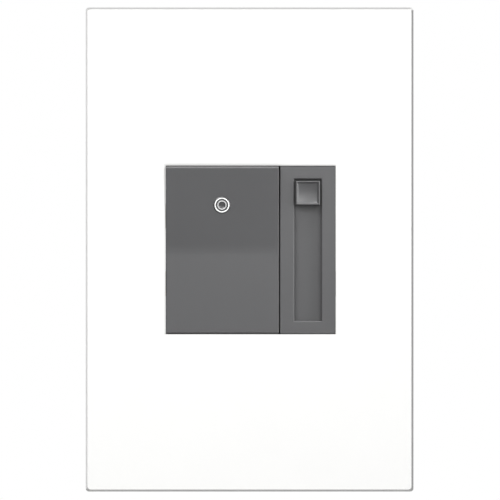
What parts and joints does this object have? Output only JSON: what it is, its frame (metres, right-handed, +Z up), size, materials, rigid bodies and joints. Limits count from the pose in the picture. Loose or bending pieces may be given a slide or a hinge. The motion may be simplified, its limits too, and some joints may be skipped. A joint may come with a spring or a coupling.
{
  "type": "dimmer slide switch",
  "caption": "Wall dimmer with a screwless plate, a wide push paddle and a recessed slide control, on a strap with a rear housing.",
  "frame": {"origin": "on the wall surface, behind the centre of the wall plate and of the square face", "axes": "+Z up along the plate's height, the face looks along -Y, +Y runs back into the wall box, +X to the viewer's right"},
  "size_m": [0.0868, 0.04, 0.1282],
  "materials": {
    "wall_plate": "smooth satin white",
    "face_plastic": "fine satin grey",
    "lens": "milky light guide",
    "led": "clear epoxy",
    "plunger": "natural acetal",
    "carrier": "dark moulded plastic",
    "plated_steel": "zinc plated",
    "spring_steel": "drawn wire",
    "green_screw": "green dyed plating",
    "fibre": "pressed fibre",
    "black_acetal": "slippery moulded plastic",
    "aluminium": "rolled",
    "housing": "textured thermoset",
    "board": "solder mask",
    "phenolic": "phenolic board",
    "copper": "enamelled copper",
    "brass": "stamped brass",
    "dark_screw": "blackened steel",
    "ferrite": "sintered ferrite",
    "capacitor_case": "dipped film capacitor",
    "sleeve": "shrunk sleeve",
    "resistor_body": "coated",
    "chip_case": "moulded epoxy"
  },
  "bodies": {
    "device": {"wall_plate": "wall_plate", "front_bezel": "face_plastic", "track_floor": "face_plastic", "locator_led": "led", "carrier_frame": "carrier", "mounting_strap": "plated_steel", "box_screw_top": "plated_steel", "box_screw_bottom": "plated_steel", "bezel_screw_1": "plated_steel", "bezel_screw_2": "plated_steel", "paddle_hinge_pin": "plated_steel", "pot_case": "plated_steel", "triac_screw": "plated_steel", "housing_screw_1": "plated_steel", "housing_screw_2": "plated_steel", "housing_screw_3": "plated_steel", "housing_screw_4": "plated_steel", "paddle_spring_left": "spring_steel", "paddle_spring_right": "spring_steel", "switch_spring": "spring_steel", "ground_screw": "green_screw", "screw_retainer_top": "fibre", "screw_retainer_bottom": "fibre", "switch_body": "black_acetal", "heat_sink_plate": "aluminium", "rear_housing": "housing", "circuit_board": "board", "pot_track_board": "phenolic", "choke_winding": "copper", "terminal_plate_line": "brass", "terminal_plate_load": "brass", "terminal_plate_traveler": "brass", "clamp_washer_line": "brass", "clamp_washer_load": "brass", "clamp_washer_traveler": "brass", "terminal_screw_load": "brass", "terminal_screw_traveler": "brass", "terminal_screw_line": "dark_screw", "choke_core": "ferrite", "film_capacitor": "capacitor_case", "smoothing_capacitor": "sleeve", "thermal_fuse": "sleeve", "power_resistor_1": "resistor_body", "power_resistor_2": "resistor_body", "triac": "chip_case", "control_chip": "chip_case"},
    "paddle": {"paddle": "face_plastic", "locator_lens": "lens"},
    "slider": {"slider_knob": "face_plastic", "slider_carriage": "black_acetal", "pot_lever": "black_acetal", "pot_wiper": "copper"},
    "plunger": {"switch_plunger": "plunger"}
  },
  "joints": [
    {"name": "paddle_press", "type": "hinge", "parent": "device", "child": "paddle", "pos_m": [-0.0075, -0.00415, -0.02], "axis": [-1, 0, 0], "range_deg": [0, 2.6], "stiffness_Nm_per_rad": 0.8, "springref_deg": -3.44, "deforming": ["paddle_spring_left", "paddle_spring_right"]},
    {"name": "slider_travel", "type": "slide", "parent": "device", "child": "slider", "axis": [0, 0, 1], "range_m": [-0.03, 0]},
    {"name": "plunger_travel", "type": "slide", "parent": "device", "child": "plunger", "axis": [0, 1, 0], "range_m": [0, 0.0012], "deforming": ["switch_spring"]}
  ],
  "couplings": [
    {"joint": "plunger_travel", "follows": "paddle_press", "m_per_rad": 0.024}
  ]
}
